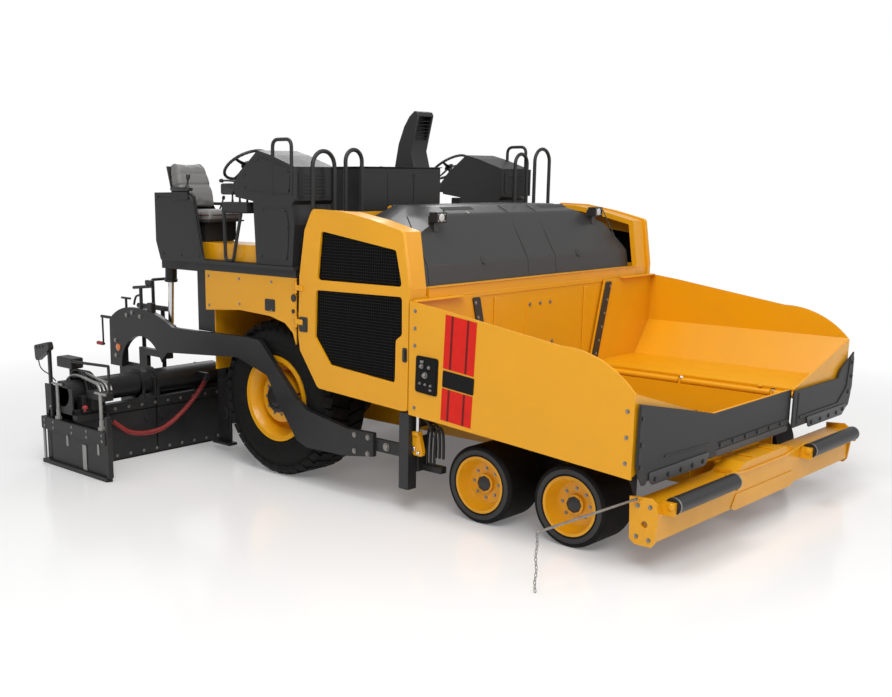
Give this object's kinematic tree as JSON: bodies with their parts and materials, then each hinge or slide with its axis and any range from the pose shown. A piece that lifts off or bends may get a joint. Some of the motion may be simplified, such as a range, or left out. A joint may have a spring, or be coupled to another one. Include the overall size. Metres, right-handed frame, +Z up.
{
  "type": "wheeled asphalt paver",
  "caption": "Wheeled road paver: folding front hopper, slat conveyors, steered bogie wheels, large drive wheels, raised operator stations, augers and a towed screed with sliding extensions.",
  "frame": {"origin": "on the ground, midway between the push rollers' front and the depth cranks' rear, on the machine's centre line", "axes": "+X forward in the paving direction, +Y the machine's left, +Z up"},
  "size_m": [6.014, 5.3006, 2.925],
  "materials": {
    "yellow_paint": "semi-gloss machine enamel",
    "black_paint": "satin black enamel",
    "charcoal_paint": "satin dark grey enamel",
    "hood_shell": "fine-grained dark moulding",
    "mesh_black": "powder-coated mesh",
    "tyre_rubber": "black tyre rubber",
    "flap_rubber": "fabric-reinforced rubber sheet",
    "engine_iron": "painted casting",
    "bare_steel": "worn conveyor steel",
    "rod_chrome": "hard chrome",
    "seat_vinyl": "grey vinyl",
    "helm_plastic": "soft black plastic",
    "cord_red": "red curly cord jacket"
  },
  "bodies": {
    "tractor": {"main_frame": "yellow_paint", "engine_block": "engine_iron", "conveyor_bed": "yellow_paint", "conveyor_slats": "bare_steel", "hopper_bulkhead": "yellow_paint", "body_sides": "yellow_paint", "operator_deck": "charcoal_paint", "hand_rails": "charcoal_paint", "control_cabinet": "charcoal_paint", "flap_centre": "flap_rubber", "bogie_beams": "charcoal_paint"},
    "screed": {"screed_main": "black_paint", "tow_arms": "charcoal_paint"},
    "hood": {"hood": "hood_shell"},
    "push_beam": {"push_beam": "yellow_paint", "guide_rod": "bare_steel"},
    "knuckle_front_right": {"knuckle_front_right": "charcoal_paint"},
    "bogie_wheel_front_right": {"bogie_tyre_front_right": "tyre_rubber", "bogie_rim_front_right": "yellow_paint"},
    "knuckle_rear_right": {"knuckle_rear_right": "charcoal_paint"},
    "bogie_wheel_rear_right": {"bogie_tyre_rear_right": "tyre_rubber", "bogie_rim_rear_right": "yellow_paint"},
    "drive_wheel_right": {"drive_tyre_right": "tyre_rubber", "drive_rim_right": "yellow_paint"},
    "wing_right": {"wing_right": "yellow_paint", "flap_right": "flap_rubber"},
    "push_roller_right": {"push_roller_right": "black_paint"},
    "door_right": {"door_right": "yellow_paint", "door_mesh_right": "mesh_black"},
    "station_right": {"station_right": "charcoal_paint", "seat_right": "seat_vinyl"},
    "helm_right": {"helm_right": "helm_plastic"},
    "extension_right": {"extension_right": "black_paint", "end_gate_right": "black_paint", "curly_cord": "cord_red"},
    "auger_right": {"auger_right": "bare_steel"},
    "lift_barrel_right": {"lift_barrel_right": "black_paint"},
    "lift_rod_right": {"lift_rod_right": "rod_chrome"},
    "knuckle_front_left": {"knuckle_front_left": "charcoal_paint"},
    "bogie_wheel_front_left": {"bogie_tyre_front_left": "tyre_rubber", "bogie_rim_front_left": "yellow_paint"},
    "knuckle_rear_left": {"knuckle_rear_left": "charcoal_paint"},
    "bogie_wheel_rear_left": {"bogie_tyre_rear_left": "tyre_rubber", "bogie_rim_rear_left": "yellow_paint"},
    "drive_wheel_left": {"drive_tyre_left": "tyre_rubber", "drive_rim_left": "yellow_paint"},
    "wing_left": {"wing_left": "yellow_paint", "flap_left": "flap_rubber"},
    "push_roller_left": {"push_roller_left": "black_paint"},
    "door_left": {"door_left": "yellow_paint", "door_mesh_left": "mesh_black"},
    "station_left": {"station_left": "charcoal_paint", "seat_left": "seat_vinyl"},
    "helm_left": {"helm_left": "helm_plastic"},
    "extension_left": {"extension_left": "black_paint", "end_gate_left": "black_paint"},
    "auger_left": {"auger_left": "bare_steel"},
    "lift_barrel_left": {"lift_barrel_left": "black_paint"},
    "lift_rod_left": {"lift_rod_left": "rod_chrome"}
  },
  "joints": [
    {"name": "screed_lift", "type": "hinge", "parent": "tractor", "child": "screed", "pos_m": [0.93, 0, 0.45], "axis": [0, 1, 0], "range_deg": [0, 7]},
    {"name": "hood_hinge", "type": "hinge", "parent": "tractor", "child": "hood", "pos_m": [-0.005, 0, 2.15], "axis": [0, -1, 0], "range_deg": [0, 50]},
    {"name": "push_beam_pivot", "type": "hinge", "parent": "tractor", "child": "push_beam", "pos_m": [2.668, 0, 0.33], "axis": [0, 0, 1], "range_deg": [-3, 3]},
    {"name": "steer_front_right", "type": "hinge", "parent": "tractor", "child": "knuckle_front_right", "pos_m": [2.2235, -0.975, 0.2795], "axis": [0, 0, 1], "range_deg": [-18, 18]},
    {"name": "roll_front_right", "type": "hinge", "parent": "knuckle_front_right", "child": "bogie_wheel_front_right", "pos_m": [2.2235, -1.242, 0.2795], "axis": [0, 1, 0], "continuous": true},
    {"name": "steer_rear_right", "type": "hinge", "parent": "tractor", "child": "knuckle_rear_right", "pos_m": [1.4825, -0.975, 0.2795], "axis": [0, 0, 1], "range_deg": [-18, 18]},
    {"name": "roll_rear_right", "type": "hinge", "parent": "knuckle_rear_right", "child": "bogie_wheel_rear_right", "pos_m": [1.4825, -1.242, 0.2795], "axis": [0, 1, 0], "continuous": true},
    {"name": "drive_right", "type": "hinge", "parent": "tractor", "child": "drive_wheel_right", "pos_m": [-0.527, -1.308, 0.632], "axis": [0, 1, 0], "continuous": true},
    {"name": "fold_wing_right", "type": "hinge", "parent": "tractor", "child": "wing_right", "pos_m": [1.873, -0.64, 0.8123], "axis": [-1, 0, 0], "range_deg": [0, 55]},
    {"name": "spin_roller_right", "type": "hinge", "parent": "push_beam", "child": "push_roller_right", "pos_m": [2.953, -1, 0.43], "axis": [0, 1, 0], "continuous": true},
    {"name": "open_door_right", "type": "hinge", "parent": "tractor", "child": "door_right", "pos_m": [-0.146, -1.635, 1.43], "axis": [0, 0, -1], "range_deg": [0, 88]},
    {"name": "slide_station_right", "type": "slide", "parent": "tractor", "child": "station_right", "axis": [0, 1, 0], "range_m": [0, 0.33]},
    {"name": "turn_helm_right", "type": "hinge", "parent": "station_right", "child": "helm_right", "pos_m": [-0.922, -1.44, 2.47], "axis": [-0.5736, 0, 0.8192], "range_deg": [-360, 360]},
    {"name": "slide_extension_right", "type": "slide", "parent": "screed", "child": "extension_right", "axis": [0, -1, 0], "range_m": [-0.98, 0.4]},
    {"name": "turn_auger_right", "type": "hinge", "parent": "tractor", "child": "auger_right", "pos_m": [-1.502, -0.6, 0.335], "axis": [0, 1, 0], "continuous": true},
    {"name": "swing_lift_right", "type": "hinge", "parent": "tractor", "child": "lift_barrel_right", "pos_m": [-1.957, -1.44, 1.975], "axis": [0, -1, 0], "range_deg": [0, 7.88]},
    {"name": "draw_lift_right", "type": "slide", "parent": "lift_barrel_right", "child": "lift_rod_right", "axis": [0.0546, 0, 0.9985], "range_m": [0, 0.3538]},
    {"name": "steer_front_left", "type": "hinge", "parent": "tractor", "child": "knuckle_front_left", "pos_m": [2.2235, 0.975, 0.2795], "axis": [0, 0, 1], "range_deg": [-18, 18]},
    {"name": "roll_front_left", "type": "hinge", "parent": "knuckle_front_left", "child": "bogie_wheel_front_left", "pos_m": [2.2235, 1.242, 0.2795], "axis": [0, 1, 0], "continuous": true},
    {"name": "steer_rear_left", "type": "hinge", "parent": "tractor", "child": "knuckle_rear_left", "pos_m": [1.4825, 0.975, 0.2795], "axis": [0, 0, 1], "range_deg": [-18, 18]},
    {"name": "roll_rear_left", "type": "hinge", "parent": "knuckle_rear_left", "child": "bogie_wheel_rear_left", "pos_m": [1.4825, 1.242, 0.2795], "axis": [0, 1, 0], "continuous": true},
    {"name": "drive_left", "type": "hinge", "parent": "tractor", "child": "drive_wheel_left", "pos_m": [-0.527, 1.308, 0.632], "axis": [0, 1, 0], "continuous": true},
    {"name": "fold_wing_left", "type": "hinge", "parent": "tractor", "child": "wing_left", "pos_m": [1.873, 0.64, 0.8123], "axis": [1, 0, 0], "range_deg": [0, 55]},
    {"name": "spin_roller_left", "type": "hinge", "parent": "push_beam", "child": "push_roller_left", "pos_m": [2.953, 1, 0.43], "axis": [0, 1, 0], "continuous": true},
    {"name": "open_door_left", "type": "hinge", "parent": "tractor", "child": "door_left", "pos_m": [-0.146, 1.635, 1.43], "axis": [0, 0, 1], "range_deg": [0, 88]},
    {"name": "slide_station_left", "type": "slide", "parent": "tractor", "child": "station_left", "axis": [0, 1, 0], "range_m": [0, 0.33]},
    {"name": "turn_helm_left", "type": "hinge", "parent": "station_left", "child": "helm_left", "pos_m": [-0.922, 1.11, 2.47], "axis": [-0.5736, 0, 0.8192], "range_deg": [-360, 360]},
    {"name": "slide_extension_left", "type": "slide", "parent": "screed", "child": "extension_left", "axis": [0, 1, 0], "range_m": [-0.98, 0.4]},
    {"name": "turn_auger_left", "type": "hinge", "parent": "tractor", "child": "auger_left", "pos_m": [-1.502, 0.6, 0.335], "axis": [0, 1, 0], "continuous": true},
    {"name": "swing_lift_left", "type": "hinge", "parent": "tractor", "child": "lift_barrel_left", "pos_m": [-1.957, 1.44, 1.975], "axis": [0, -1, 0], "range_deg": [0, 7.88]},
    {"name": "draw_lift_left", "type": "slide", "parent": "lift_barrel_left", "child": "lift_rod_left", "axis": [0.0546, 0, 0.9985], "range_m": [0, 0.3538]}
  ],
  "couplings": [
    {"joint": "steer_rear_right", "follows": "steer_front_right", "ratio": 1},
    {"joint": "turn_helm_right", "follows": "steer_front_right", "ratio": 20},
    {"joint": "swing_lift_right", "follows": "screed_lift", "ratio": 1.1191},
    {"joint": "draw_lift_right", "follows": "screed_lift", "m_per_rad": 2.8881},
    {"joint": "steer_front_left", "follows": "steer_front_right", "ratio": 1},
    {"joint": "steer_rear_left", "follows": "steer_front_right", "ratio": 1},
    {"joint": "turn_helm_left", "follows": "steer_front_right", "ratio": 20},
    {"joint": "swing_lift_left", "follows": "screed_lift", "ratio": 1.1191},
    {"joint": "draw_lift_left", "follows": "screed_lift", "m_per_rad": 2.8881}
  ]
}
